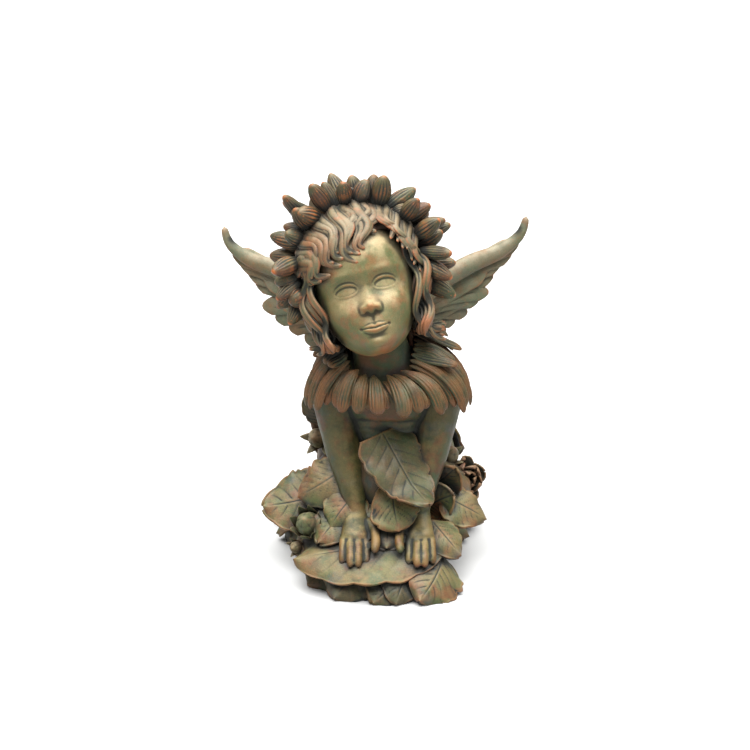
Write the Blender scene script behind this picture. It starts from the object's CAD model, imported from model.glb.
# %% [markdown]
# # A garden fairy in cast resin
# A winged girl kneels on a bed of leaves and leans forward on her straight arms. The real figure is
# one casting of filled resin, painted to look like bronze that has weathered outdoors. This lesson
# loads the plain solid of the casting as a frame, and then models everything that shows: head, hair,
# wreath, collar, wings, leaves and flowers, each as a closed shape that sinks into its neighbours.

import math

import bpy
import numpy as np
from mathutils import Matrix, Vector, noise


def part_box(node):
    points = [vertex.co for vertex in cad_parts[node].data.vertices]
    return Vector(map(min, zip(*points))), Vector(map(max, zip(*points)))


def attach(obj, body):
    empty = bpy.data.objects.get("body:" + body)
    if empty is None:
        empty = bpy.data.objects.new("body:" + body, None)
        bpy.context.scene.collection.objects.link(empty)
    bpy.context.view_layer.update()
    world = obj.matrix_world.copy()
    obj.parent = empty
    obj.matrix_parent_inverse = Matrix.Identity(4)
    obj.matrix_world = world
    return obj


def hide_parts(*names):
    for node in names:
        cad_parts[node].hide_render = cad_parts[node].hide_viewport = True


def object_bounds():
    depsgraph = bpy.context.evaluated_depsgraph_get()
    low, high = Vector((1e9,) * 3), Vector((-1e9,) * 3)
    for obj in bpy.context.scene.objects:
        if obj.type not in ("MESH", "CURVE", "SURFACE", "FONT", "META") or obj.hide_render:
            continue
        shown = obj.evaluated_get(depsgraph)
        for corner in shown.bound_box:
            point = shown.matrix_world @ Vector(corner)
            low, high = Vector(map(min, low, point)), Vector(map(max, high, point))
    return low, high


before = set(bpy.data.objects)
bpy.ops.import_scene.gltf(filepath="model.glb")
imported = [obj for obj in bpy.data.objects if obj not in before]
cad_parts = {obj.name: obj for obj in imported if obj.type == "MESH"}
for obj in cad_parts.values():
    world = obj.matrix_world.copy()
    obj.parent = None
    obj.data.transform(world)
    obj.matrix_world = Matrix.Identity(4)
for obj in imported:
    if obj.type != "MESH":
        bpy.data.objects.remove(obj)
CAD_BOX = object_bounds()
LOW, HIGH = (Vector(corner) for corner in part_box("fairy_statue"))
MIDDLE = Vector(((LOW.x + HIGH.x) / 2, (LOW.y + HIGH.y) / 2, LOW.z))
print("casting from", [round(c, 4) for c in LOW], "to", [round(c, 4) for c in HIGH])

# %% [markdown]
# ## Where things are
# The sizes below are the casting's own, in metres, and they are the ones its solid was built from.
# The head has its own units, 118 to its height and so 1 mm each, so its forms can be laid out
# upright and then leaned to one side and tipped back together. Left and right are as seen from in
# front, except where they are called hers.

# %% Sizes and the head's own frame
HEAD_HEIGHT = 0.118
HEAD_UNIT = HEAD_HEIGHT / 118
# from the maker's drawing to the casting's middle
SHIFT = np.array([0.0003 + MIDDLE.x, 0.0020 + MIDDLE.y, 0.0])
BODY_X = 0.011
HEAD_AT = np.array([-0.008, -0.030, 0.255])
HEAD_ROLL, HEAD_PITCH = math.radians(14), math.radians(22)
HEAD_TURN = np.array(Matrix.Rotation(-HEAD_PITCH, 3, "X") @ Matrix.Rotation(-HEAD_ROLL, 3, "Y"))


def on_head(points):
    """Points in the head's units, as places on the casting. They can be one point or many."""
    return HEAD_AT + (np.asarray(points, float) * HEAD_UNIT) @ HEAD_TURN.T


print("chin at", on_head((0, -42, -55)).round(4), "crown of the skull at", on_head((0, 0, 63)).round(4))

# %% [markdown]
# ## Clay balls and sheets
# Nearly every form here is a ball that is drawn out, flattened and bent, as a modeller would do in
# clay: a petal, a feather, a lock of hair or a bud. A ball is closed from the start, and its two
# poles become the root and the tip. A leaf starts as a flat grid and gets its thickness afterwards.
# Both helpers give back two numbers for each point, which say where on the shape it is, so that the
# next cells can move all the points at once.


# %% Helpers that select, read and move
def select(*pieces):
    """Only these are selected and nothing is in edit mode, so the next operator acts on nothing else."""
    if bpy.context.object and bpy.context.object.mode != "OBJECT":
        bpy.ops.object.mode_set(mode="OBJECT")
    bpy.ops.object.select_all(action="DESELECT")
    for piece in reversed(pieces):
        piece.select_set(True)
        bpy.context.view_layer.objects.active = piece


def rows_of(items, what, width=3, kind=np.float32):
    """What every point or edge of a mesh holds, as rows of numbers."""
    flat = np.empty(width * len(items), kind)
    items.foreach_get(what, flat)
    return flat.reshape(-1, width)


def points_of(piece):
    return rows_of(piece.data.vertices, "co").astype(float)


def set_points(piece, points):
    piece.data.vertices.foreach_set("co", np.asarray(points, np.float32).ravel())
    piece.data.update()


# %% Helpers that add the primitives and finish them
def clay_ball(name, segments, rings):
    """A ball with its poles on Z. Gives the piece, each point's way from root to tip, and its angle round."""
    select()
    bpy.ops.mesh.primitive_uv_sphere_add(segments=segments, ring_count=rings, radius=1.0)
    piece = bpy.context.object
    piece.name = name
    at = points_of(piece)
    along = 0.5 + np.arcsin(np.clip(at[:, 2], -1, 1)) / math.pi
    return piece, along, np.arctan2(at[:, 1], at[:, 0])


def clay_sheet(name, across, along):
    """A flat grid. Gives the piece, each point's place across it from -1 to 1, and along it from 0 to 1."""
    select()
    bpy.ops.mesh.primitive_grid_add(x_subdivisions=across, y_subdivisions=along, size=2.0)
    piece = bpy.context.object
    piece.name = name
    at = points_of(piece)
    return piece, at[:, 0], 0.5 + 0.5 * at[:, 1]


def applied(piece, kind, **settings):
    """Adds one modifier to a piece and applies it."""
    select(piece)
    modifier = piece.modifiers.new(kind.title(), kind)
    for name, value in settings.items():
        setattr(modifier, name, value)
    bpy.ops.object.modifier_apply(modifier=modifier.name)
    return piece


def joined(name, pieces):
    """Makes one piece of several, and turns every closed shape's faces outwards."""
    select(*pieces)
    if len(pieces) > 1:
        bpy.ops.object.join()
    whole = bpy.context.object
    whole.name = whole.data.name = name
    bpy.ops.object.mode_set(mode="EDIT")
    bpy.ops.mesh.select_all(action="SELECT")
    bpy.ops.mesh.normals_make_consistent(inside=False)
    bpy.ops.object.mode_set(mode="OBJECT")
    triangles = sum(len(face.vertices) - 2 for face in whole.data.polygons)
    print(f"{name}: {len(whole.data.vertices)} points, {triangles} triangles")
    return whole


# %% [markdown]
# ## Bending things along a path
# A petal, a lock or a feather is first thought of as straight, and then laid along a curve in space.
# `laid_along` takes the curve as rows of points, works out its direction at each point, and carries a
# sideways direction along it that never flips over. `spread` and `rise` say how far each point stands
# off the curve sideways and outwards.


# %% Helpers that bend
PATH_POINTS = 65


def unit(v):
    return v / np.maximum(np.linalg.norm(v, axis=-1, keepdims=True), 1e-12)


def clamp(values):
    """Nothing below 0 or above 1."""
    return np.clip(values, 0, 1)


def bell(distance, width):
    """1 in the middle, and near 0 at twice the width."""
    return np.exp(-((distance / width) ** 2))


def along_path(path, t):
    """Places on a path of points, evenly from t = 0 at its start to t = 1 at its end."""
    steps = np.linalg.norm(np.diff(path, axis=0), axis=1)
    way = np.concatenate([[0], np.cumsum(steps)]) / steps.sum()
    return np.stack([np.interp(t, way, path[:, k]) for k in range(path.shape[1])], axis=1)


def laid_along(path, facing, t, spread, rise):
    """Points laid along a path: spread runs across it and rise towards facing, which may vary along it."""
    way, facing = np.linspace(0, 1, PATH_POINTS), np.asarray(facing, float)
    fine = along_path(np.asarray(path, float), way)
    for _ in range(3):
        fine[1:-1] = 0.25 * fine[:-2] + 0.5 * fine[1:-1] + 0.25 * fine[2:]
    ahead = unit(np.gradient(fine, axis=0))
    up = along_path(facing, way) if facing.ndim > 1 else np.broadcast_to(facing, fine.shape)
    across = unit(np.cross(ahead, up))
    up = unit(np.cross(across, ahead))

    def at(rows):
        return np.stack([np.interp(t, way, rows[:, k]) for k in range(3)], axis=1)

    return at(fine) + at(across) * spread[:, None] + at(up) * rise[:, None]


def wobble(seed, count):
    """Repeatable small differences between -1 and 1, so that no two petals are quite the same."""
    return np.random.default_rng(seed).uniform(-1, 1, count)


# %% [markdown]
# ## Camera and light
# The figure is looked at slightly from above, at 20 degrees, through a long lens. The light is that
# of a product table: a large soft lamp above and in front, a weaker one on the other side, and a
# pale floor and surroundings, so that the shadows stay open.

# %% Camera
CAMERA_HEIGHT, CAMERA_AWAY = math.radians(20), 1.35
LOOKS_AT = Vector((float(SHIFT[0]), float(SHIFT[1]), 0.1668))


def turned_to(thing, place, target):
    """Puts a camera or lamp somewhere, facing a place, and into the scene."""
    thing.location = place
    thing.rotation_euler = (Vector(place) - Vector(target)).to_track_quat("Z", "Y").to_euler()
    bpy.context.scene.collection.objects.link(thing)


camera = bpy.data.objects.new("camera", bpy.data.cameras.new("camera"))
camera.data.sensor_width = 36.0
camera.data.lens = 71.28
away = Vector((0, -math.cos(CAMERA_HEIGHT), math.sin(CAMERA_HEIGHT)))
turned_to(camera, LOOKS_AT + CAMERA_AWAY * away, LOOKS_AT)
bpy.context.scene.camera = camera

# %% Lamps
for name, place, size, power in (
    ("key_lamp", (-0.40, -0.75, 1.45), 0.6, 7),
    ("fill_lamp", (0.95, -0.80, 0.60), 0.9, 1.5),
):
    lamp = bpy.data.objects.new(name, bpy.data.lights.new(name, "AREA"))
    lamp.data.size, lamp.data.energy = size, power
    turned_to(lamp, place, (0, 0, 0.17))


# %% Colours and one node helper
def hex_colour(code):
    """An sRGB hex colour as the linear numbers that the shader needs."""
    parts = [int(code[i : i + 2], 16) / 255 for i in (1, 3, 5)]
    return tuple(c / 12.92 if c <= 0.04045 else ((c + 0.055) / 1.055) ** 2.4 for c in parts) + (1.0,)


def add(tree, kind, inputs=(), out=0, **settings):
    """Adds one node and gives its output. inputs are pairs of a socket and a value or an output to link."""
    new = tree.nodes.new("ShaderNode" + kind)
    for name, value in settings.items():
        setattr(new, name, value)
    for socket, value in inputs:
        if isinstance(value, bpy.types.NodeSocket):
            tree.links.new(value, new.inputs[socket])
        else:
            new.inputs[socket].default_value = value
    return new.outputs[out]


# %% A white backdrop and a softbox overhead, as the world
# The backdrop is white up to 11 degrees above the horizon, so it goes on where the floor ends. Above it
# the room is dim, and overhead it is many times as bright as white paper, so that what faces up is lit most.
SKY = ((0.20, 0.0955), (0.235, 0.024), (0.74, 0.024), (0.86, 1.0))  # how steeply upwards, and how bright
SKY_STRENGTH = 10.5
world = bpy.data.worlds.new("studio")
world.use_nodes = True
tree = world.node_tree
upwards = add(tree, "SeparateXYZ", [(0, add(tree, "TexCoord", out="Generated"))], out=2)
bright = add(tree, "ValToRGB", [(0, upwards)])
stops = bright.node.color_ramp.elements
for i, (position, value) in enumerate(SKY):
    stop = stops[i] if i < 2 else stops.new(position)
    stop.position, stop.color = position, (value, value, value, 1)
tree.links.new(bright, tree.nodes["Background"].inputs["Color"])
tree.nodes["Background"].inputs["Strength"].default_value = SKY_STRENGTH
bpy.context.scene.world = world
bpy.context.scene.view_settings.view_transform = "Standard"

# %% [markdown]
# ## The skull and the face
# The head follows the rules of a drawing book for a young child. From in front the skull is an egg,
# three quarters as wide as it is high. The eyes lie just below half its height, one eye's width
# apart, the nose is short, the mouth small and closed and the chin round. The head starts as a ball,
# and the face is then pressed and built up on its front, as with a modelling tool, by soft swellings
# and hollows. The points are set closer together in front, where the detail is.

# %% Profiles
HALF_SKULL, WIDEST, CROWN, CHIN = 44.0, 18.0, 63.5, -57.5
HEAD_PROFILE = np.array([
    # seen from the side: a height, then how far forward the front is and how far back the back is
    (-57.5, 24.0, -24.0), (-55.5, 34.0, -10.0), (-51.0, 39.5, 2.0), (-44.0, 41.8, 13.0), (-36.0, 42.0, 21.0),
    (-26.0, 42.0, 29.0), (-14.0, 42.0, 39.0), (0.0, 42.2, 49.0), (14.0, 45.6, 55.0), (28.0, 46.0, 56.0),
    (42.0, 39.5, 50.0), (54.0, 24.0, 36.0), (61.0, 6.0, 18.0), (63.5, -6.0, 6.0),
])  # fmt: skip


def half_skull(height):
    """Half the width of the egg: round above its widest place, and drawn out towards the chin."""
    above = clamp((height - WIDEST) / (CROWN - WIDEST))
    below = clamp((height - WIDEST) / (CHIN - WIDEST))
    return HALF_SKULL * np.sqrt(1 - above**2) * (1 - below**2.5) ** 0.5


def eased(rows, at):
    """Columns of a table at any value of its first column, on a smooth curve through its rows."""
    x, y = rows[:, 0], rows[:, 1:]
    slope = np.gradient(y, x, axis=0)
    at = np.clip(at, x[0], x[-1])
    i = np.clip(np.searchsorted(x, at) - 1, 0, len(x) - 2)
    width = (x[i + 1] - x[i])[:, None]
    t = ((at - x[i]) / (x[i + 1] - x[i]))[:, None]
    start = (2 * t**3 - 3 * t**2 + 1) * y[i] + (t**3 - 2 * t**2 + t) * width * slope[i]
    return start + (3 * t**2 - 2 * t**3) * y[i + 1] + (t**3 - t**2) * width * slope[i + 1]


def skull(around, height):
    """Points of the skull, in the head's units. around is 0 in front and grows to her left."""
    front, back = eased(HEAD_PROFILE, height).T
    share = 0.5 + 0.5 * np.tanh(3.0 * np.cos(around))
    reach = front * share + back * (1 - share)
    return np.stack([half_skull(height) * np.sin(around), -reach * np.cos(around), height], axis=1)


# %% Swellings and hollows of the face
EYE_ASIDE = 17.0
SWELLINGS = (
    # how far aside and how high, half its width and height, and how far it stands out: the eye's socket,
    # the bridge, the brow, the cheek, the mound of the mouth, the groove above the lip and the dip below
    # it, the chin, and the fold beside the nose
    (EYE_ASIDE, 0.5, 13.5, 9.5, -6.2), (0, 9, 8, 9, 0.7), (17.5, 12.5, 12.5, 4.2, 1.5),
    (22, -20, 14.0, 12.5, 5.0), (0, -33.5, 15.5, 9.5, 3.4), (0, -28.0, 1.9, 3.0, -0.7),
    (0, -42.4, 8.5, 2.6, -1.4), (0, -48.0, 12, 7.0, 2.8), (14.5, -27, 3.5, 8.0, -0.4),
)  # fmt: skip


def swell(x, z, at_x, at_z, wide, high, rise):
    """A soft round swelling, or a hollow where rise is negative."""
    return rise * np.exp(-(((x - at_x) / wide) ** 2) - ((z - at_z) / high) ** 2)


def edge(value, softness):
    """0 well below zero and 1 well above it."""
    return 0.5 + 0.5 * np.tanh(value / softness)


def eye_relief(x, z):
    """One eye, from its own middle: a blank eyeball between soft lids, deepest under the upper one."""
    reach = clamp(1 - (x / 9.6) ** 2)
    upper, lower = 4.3 * reach**0.55, -3.2 * reach**0.65
    inside = edge(upper - z, 0.45) * edge(z - lower, 0.55) * edge(9.2 - np.abs(x), 0.6)
    depth = 0.55 + 0.80 * clamp((z - lower) / np.maximum(upper - lower, 1)) ** 1.5
    ball = swell(x, z, 0, 0, 9.6, 7.8, 4.2)
    eyeball = 1.1 * np.sqrt(clamp(1 - (x / 10.2) ** 2 - ((z - 0.4) / 5.2) ** 2)) * inside
    near = np.exp(-((x / 9.0) ** 4)) * (1 - inside)
    lids = (0.55 * bell(z - upper - 1.0, 1.3) + 0.40 * bell(z - lower + 1.0, 1.0)) * near
    crease = -0.50 * bell(z - upper - 3.2, 1.1) * np.exp(-((x / 8.5) ** 4))
    return ball + eyeball + lids + crease - depth * inside


def mouth_relief(x, z):
    """Closed lips at rest: a bowed upper lip, a fuller lower one and the line where they meet."""
    side = np.abs(x)
    reach = clamp(1 - (x / 11.6) ** 2)
    line = -35.2 + 0.9 * (x / 11.6) ** 2 - 0.4 * bell(x, 2.8)
    top = line + (3.3 + 0.5 * bell(side - 3.0, 2.0) - 0.5 * bell(x, 1.4)) * reach**0.7
    bottom = line - 4.6 * reach**0.6
    upper_lip = edge(top - z, 0.8) * edge(z - line, 0.5) * reach**0.5 * (1.4 + clamp((top - z) / 4))
    rounded_lip = np.sqrt(clamp(1 - ((z - (line + bottom) / 2) / 3.5) ** 2))
    lower_lip = edge(line - z, 0.5) * edge(z - bottom, 1.0) * reach**0.5 * 2.8 * rounded_lip
    parting = -1.2 * bell(z - line, 0.8) * edge(12.0 - side, 0.9)
    return upper_lip + lower_lip + parting + swell(side, z, 12.2, line, 1.9, 2.0, -0.8)


def nose_relief(x, z):
    """A short child's nose with a round tip, soft wings and small nostrils."""
    side, below = np.abs(x), edge(z + 22.0, 1.6)
    rise = 0.4 + 5.6 * clamp((2.0 - z) / 18.0) ** 1.3
    ridge = rise * bell(x, 5.2 + 1.4 * edge(-z - 8, 5)) * below * edge(10 - z, 5)
    tip = swell(x, z, 0, -16.8, 5.6, 5.0, 4.6) * below
    wings = swell(side, z, 6.2, -18.8, 2.9, 3.2, 3.4) * edge(z + 22.4, 1.2)
    cleft, nostril = swell(side, z, 9.8, -19.4, 1.5, 2.8, -0.5), swell(side, z, 3.8, -21.6, 1.8, 1.4, -2.2)
    return ridge + tip + wings + cleft + nostril + swell(x, z, 0, -22.2, 2.0, 1.8, 1.2)


def face_relief(x, z):
    """How far the face stands forward of the plain skull."""
    side = np.abs(x)
    parts = nose_relief(x, z) + mouth_relief(x, z) + eye_relief(side - EYE_ASIDE, z)
    return parts + sum(swell(side, z, *row) for row in SWELLINGS)


# %% Model the head
def make_head():
    """The ball's points are gathered towards the front, laid on the skull and pushed out by the relief."""
    head, along, _ = clay_ball("head", 220, 172)
    at = points_of(head)
    turned = np.arctan2(at[:, 0], -at[:, 1])
    around = turned - 0.45 * np.sin(turned)
    shape = skull(around, -57.3 + 120.6 * along)
    shape[:, 1] -= face_relief(shape[:, 0], shape[:, 2]) * clamp(2.4 * np.cos(around))
    set_points(head, on_head(shape))
    return joined("head", [head])


head = make_head()

# %% [markdown]
# ## The body
# Trunk, arms and hands are rolled out as tubes of changing thickness, round at both ends. They are
# then fused by a voxel remesh, which welds everything that overlaps into one skin as if the clay had
# been smoothed together, and a few passes of smoothing soften the seams where an arm meets the trunk.


# %% A tube that swells and tapers, and an egg
def tube(name, path, radii, facing=(0, -1, 0), flat=1.0, segments=20, rings=24, flutes=0, depth=0.0,
         twist=0.0, cap=0.12):  # fmt: skip
    """Rolls a ball out along a path. radii are spaced evenly, flat squashes it, flutes are grooves
    along it, and cap is the share of its length that each round end takes."""
    piece, along, turn = clay_ball(name, segments, rings)
    ends = clamp(np.minimum(along, 1 - along) / cap)
    thick = np.interp(along, np.linspace(0, 1, len(radii)), radii) * np.sqrt(1 - (1 - ends) ** 2)
    if flutes:
        thick = thick * (1 + depth * (np.abs(np.cos(0.5 * flutes * turn + twist * along)) - 0.6))
    set_points(piece, laid_along(path, facing, along, thick * np.cos(turn), thick * np.sin(turn) * flat))
    return piece


def oval(name, middle, radii, lean=0.0):
    """An egg shape. lean tips its upright axis forwards, in degrees."""
    piece, _, _ = clay_ball(name, 40, 28)
    tipped = np.array(Matrix.Rotation(math.radians(lean), 3, "X"))
    set_points(piece, (points_of(piece) * radii) @ tipped.T + middle)
    return piece


# %% Arms and hands
ARM = (
    # out, back and up, from the shoulder down to the wrist
    (0.0400, -0.010, 0.184), (0.0490, -0.018, 0.166), (0.0445, -0.029, 0.136), (0.0385, -0.038, 0.110),
    (0.0330, -0.050, 0.086), (0.0275, -0.065, 0.060), (0.0275, -0.074, 0.054),
)  # fmt: skip
ARM_HALF = (0.017, 0.0222, 0.0212, 0.0190, 0.0178, 0.0172, 0.0148, 0.0122, 0.0104, 0.0094)
FINGER_LENGTHS = (0.0285, 0.0325, 0.0320, 0.0270)
# each finger's bends: outwards for one step from the middle, forwards as a share of its length, and down
FINGER_BENDS = ((0.0, 0.0, 0.0), (0.0004, -0.42, -0.0030), (0.0010, -0.74, -0.0105), (0.0012, -0.96, -0.0190))
THUMB_BENDS = ((0.0, 0.0, 0.0), (0.0060, -0.014, -0.004), (0.0070, -0.025, -0.009), (0.0054, -0.035, -0.017))


def make_arm(side):
    """Straight, with the weight on it."""
    path = [(BODY_X + side * out, back, up) for out, back, up in ARM]
    return tube("arm", path, ARM_HALF, rings=40, cap=0.07)


def make_hand(side):
    """A hand pressed flat. Four fingers point forwards and down, and the thumb turns inwards."""
    wrist = np.array([BODY_X + side * 0.0270, -0.064, 0.062])
    knuckle = wrist + (side * 0.002, -0.030, -0.020)
    palm = [wrist + (0, 0.010, 0.010), (wrist + knuckle) / 2 + (0, 0, 0.001), knuckle]
    parts = [tube("palm", palm, (0.0096, 0.0106, 0.0124, 0.0136), (0, -0.5, 1), 0.54, rings=30, cap=0.20)]
    for step, length in zip((-1.5, -0.5, 0.5, 1.5), FINGER_LENGTHS[::side]):
        root = knuckle + (step * 0.0060, 0.0016 * abs(step) + 0.012, 0.0052)
        path = [root + (step * out, length * ahead, down) for out, ahead, down in FINGER_BENDS]
        half = (0.0038, 0.0039, 0.0041, 0.0035, 0.0036, 0.0031)
        parts.append(tube("finger", path, half, (0, -0.4, 1), 0.95, 14, 22, cap=0.14))
    base = wrist + (-side * 0.010, -0.008, -0.005)
    path = [base + (-side * inwards, ahead, down) for inwards, ahead, down in THUMB_BENDS]
    half = (0.0058, 0.0052, 0.0042, 0.0044, 0.0034)
    return parts + [tube("thumb", path, half, (0, -0.4, 1), 0.9, 14, 20, cap=0.14)]


# %% Fuse the body
BODY_VOXEL, MOUND_VOXEL = 0.0014, 0.0031


def fused(name, parts, voxel, passes):
    """Everything that overlaps becomes one skin, which is then smoothed."""
    whole = applied(joined(name, parts), "REMESH", mode="VOXEL", voxel_size=voxel)
    return applied(whole, "SMOOTH", factor=0.5, iterations=passes)


def make_body():
    """Trunk, neck and limbs in one skin, with the folds of the bodice pressed in afterwards."""
    x = BODY_X
    trunk = [(x - 0.004, 0.070, 0.078), (x - 0.001, 0.026, 0.114), (x, -0.010, 0.150), (x, -0.018, 0.182)]
    neck = [(0.0085, -0.020, 0.172), (0.0060, -0.026, 0.196), tuple(on_head((0, 4, -30)))]
    parts = [
        tube("trunk", trunk, (0.046, 0.043, 0.040, 0.040, 0.043, 0.040), rings=40, segments=40, cap=0.2),
        oval("chest", (x, -0.014, 0.158), (0.049, 0.037, 0.041), -30),
        oval("bodice", (x - 0.001, -0.020, 0.138), (0.038, 0.030, 0.037), -8),
        oval("hips", (x - 0.004, 0.062, 0.080), (0.054, 0.046, 0.044)),
        tube("neck", neck, (0.033, 0.0265, 0.0245, 0.0255), segments=40, cap=0.2),
    ]
    for side in (-1, 1):
        collarbone = [(x, -0.008, 0.178), (x + side * 0.044, -0.012, 0.180)]
        parts += [tube("collarbone", collarbone, (0.024, 0.0225), cap=0.4), make_arm(side)] + make_hand(side)
    body = fused("body", parts, BODY_VOXEL, 3)
    at = points_of(body)
    aside, front = at[:, 0] - x, clamp((-0.012 - at[:, 1]) / 0.012)
    above, below = edge(at[:, 2] - 0.114, 0.004), edge(0.146 - at[:, 2], 0.006)
    cloth = front * edge(0.025 - np.abs(aside), 0.003) * above * below
    sag = at[:, 2] + 3.2 * aside**2 + 0.0012 * np.sin(90 * at[:, 0])
    folds = 0.0004 * np.abs(np.sin(math.pi * sag / 0.0095)) ** 0.8 + 0.0002 * np.sin(math.pi * sag / 0.0036)
    at[:, 1] -= cloth * folds
    set_points(body, at)
    return joined("body", [body])


body = make_body()

# %% [markdown]
# ## Hair
# The hair is modelled as a sculptor simplifies it: a full cap, and over it wavy locks with a few
# grooves along each. The fringe is parted a little to her left. Its locks come out from
# under the wreath, fall over the swell of the hair in one long wave and end in a small hook. Long locks
# frame the face down to the shoulders. Behind, the locks are broader and plainer.


# %% The swell of the hair, and one lock of the fringe
HAIR_MIDDLE, HAIR_HALF = (0.0, 8.0, 18.0), (55.0, 56.0, 59.0)
WREATH_MIDDLE, WREATH_RADIUS = 22.0, 53.0  # the wreath is an arch over the head, this high and this wide


def on_hair(x, z, lift):
    """Points on the front of the hair's swell, in the head's units. lift is how far they stand off it."""
    side, up = (x - HAIR_MIDDLE[0]) / HAIR_HALF[0], np.maximum(z - HAIR_MIDDLE[2], 0) / HAIR_HALF[2]
    forward = np.sqrt(np.clip(1 - side**2 - up**2, 0.02, 1))
    at = np.stack([x, HAIR_MIDDLE[1] - HAIR_HALF[1] * forward, z], axis=-1)
    out = unit(np.stack([side / HAIR_HALF[0], -forward / HAIR_HALF[1], up / HAIR_HALF[2]], axis=-1))
    return at + out * lift[:, None], out


def fringe_lock(start, end, seed, width, lift, side):
    """From one (x, z) to another over the swell, in one wave that all its neighbours share."""
    random = wobble(seed, 6)
    on_left = side < 0
    t = np.linspace(0, 1, 30)
    run = unit(end - start)
    across = np.array([-run[1], run[0]]) * side
    turn = 2 * math.pi * (1.35 + 0.12 * random[0]) * t + 0.9 + 0.35 * random[1]
    hook = clamp(t - 0.84) / 0.16
    bent = (3.6 if on_left else 1.2) * (1 if random[5] > -0.5 else -0.8) * (0.7 + 0.3 * random[3])
    sway = (5.2 if on_left else 3.4) * (1 + 0.30 * random[2]) * np.sin(turn) * (0.30 + 0.70 * t)
    front = start + (end - start) * t[:, None] + across * (sway - bent * hook**1.4)[:, None]
    rise = lift * (1 - 0.75 * t) + 1.1 * np.cos(turn) * t
    rise = rise + 2.0 * hook**2 * (0.6 + 0.5 * random[4]) + (-1.2 if on_left else 1.8) * t
    path, out = on_hair(front[:, 0], front[:, 1], rise)
    radii = HEAD_UNIT * width * np.array([0.50, 0.58, 0.60, 0.54, 0.44, 0.34, 0.24, 0.12])
    return tube("lock", on_head(path), radii, out @ HEAD_TURN.T, 0.56, 26, 40, 4, 0.20, 0.9 * random[0], 0.06)


# %% Hanging locks, and those behind
def hanging_lock(side, depth, bulk, end, seed, width):
    """A lock from the temple down past the cheek to the shoulder, which waves from side to side."""
    random = wobble(seed, 6)
    t = np.linspace(0, 1, 30)
    course = ((42.0, 0.0, 0, 36.0), (44.0, 1.0, 2, 12.0), (43.0, 1.0, 3, -18.0), (37.0, 0.6, 2, -42.0))
    upper = [(side * (out + share * bulk), depth + back, up) for out, share, back, up in course]
    path = along_path(np.vstack([on_head(upper), end]), t)
    out = unit(on_head((side * 60.0, depth, 0)) - on_head((0, 10, 0)))
    forward = unit(np.cross(out, (0, 0, 1)) * side)
    turn = 2 * math.pi * (2.5 + 0.3 * random[1]) * t + 1.2 * random[0]
    wave = np.sin(turn) * (0.6 + 0.6 * t) * 0.0048
    roll = np.cos(turn) * (0.7 + 0.4 * t) * 0.0042
    hook = clamp(t - 0.86) ** 1.3 * 0.16 * (0.6 + 0.4 * random[2])
    path = path + forward * wave[:, None] + out * (roll + hook)[:, None]
    radii = HEAD_UNIT * width * np.array([0.40, 0.54, 0.58, 0.56, 0.54, 0.50, 0.44, 0.34, 0.18])
    return tube("lock", path, radii, out, 0.74, 22, 46, 4, 0.24, 2.0 * random[3], cap=0.05)


REAR_TOP = 69.0
REAR_SHAPE = np.array([
    # height, half the width and half the depth of the hair behind
    (-62, 32, 30), (-40, 37, 38), (-10, 47, 52), (18, 51, 55), (40, 47, 51), (60, 34, 37), (70, 16, 18),
])  # fmt: skip


def rear_lock(around, low, seed):
    """A broad plain lock down the back of the head."""
    random = wobble(seed, 3)
    t = np.linspace(0, 1, 22)
    height = REAR_TOP + (low - REAR_TOP) * t**1.15
    turned = np.radians(around) + 0.07 * np.sin(4 * math.pi * t + 3.1 * random[0]) * (0.45 + 0.65 * t)
    width, depth = (np.interp(height, REAR_SHAPE[:, 0], REAR_SHAPE[:, k]) for k in (1, 2))
    out = unit(np.stack([np.sin(turned), -np.cos(turned), 0.2 + 0 * t], axis=1))
    curl = 16 * clamp(t - 0.82) ** 1.2 * (0.6 + 0.4 * random[1])
    at = np.stack([width * np.sin(turned), 9.5 - depth * np.cos(turned), height], axis=1)
    path = on_head(at + out * (2.0 + curl)[:, None])
    radii = HEAD_UNIT * 14.5 * np.array([0.42, 0.52, 0.56, 0.54, 0.50, 0.42, 0.30, 0.15])
    return tube("lock", path, radii, out @ HEAD_TURN.T, 0.6, 20, 34, 6, 0.34, 1.2 * random[0], cap=0.06)


# %% Fringe, sides and back
PARTING = 22.0  # how far to her left the fringe parts


def make_fringe():
    """Two layers on each side of the parting. The left locks fall, the right ones sweep to the temple."""
    locks, radius = [], 0.97 * WREATH_RADIUS
    for layer in (0, 1):
        for side, count in ((-1, 11), (1, 7)):
            for i in range(count):
                seed = len(locks) + 1
                random = wobble(seed + 70, 3)
                share = (i + 0.5 * layer + 0.3 * random[0]) / count
                if side < 0:
                    degrees, end_x, width = 24 - 110 * share, PARTING - 6 - 62 * share, (11.4, 8.2)
                    fall = 24 * math.sin(0.5 * math.pi * min(1.0, 1.8 * share))
                    end_z = 44 - fall + 6.0 * random[1] + 9 * layer
                else:
                    degrees, end_x, width = 22 + 46 * share, PARTING + 8 + 20 * share, (9.0, 7.6)
                    end_z = 44 - 50 * share + 3.0 * random[1] + 5 * layer
                around = math.radians(degrees)
                start = np.array([radius * math.sin(around), WREATH_MIDDLE + radius * math.cos(around)])
                lift = 1.2 + 2.6 * layer + 1.2 * (i % 2)
                locks.append(fringe_lock(start, np.array([end_x, end_z]), seed, width[layer], lift, side))
    return locks


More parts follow.
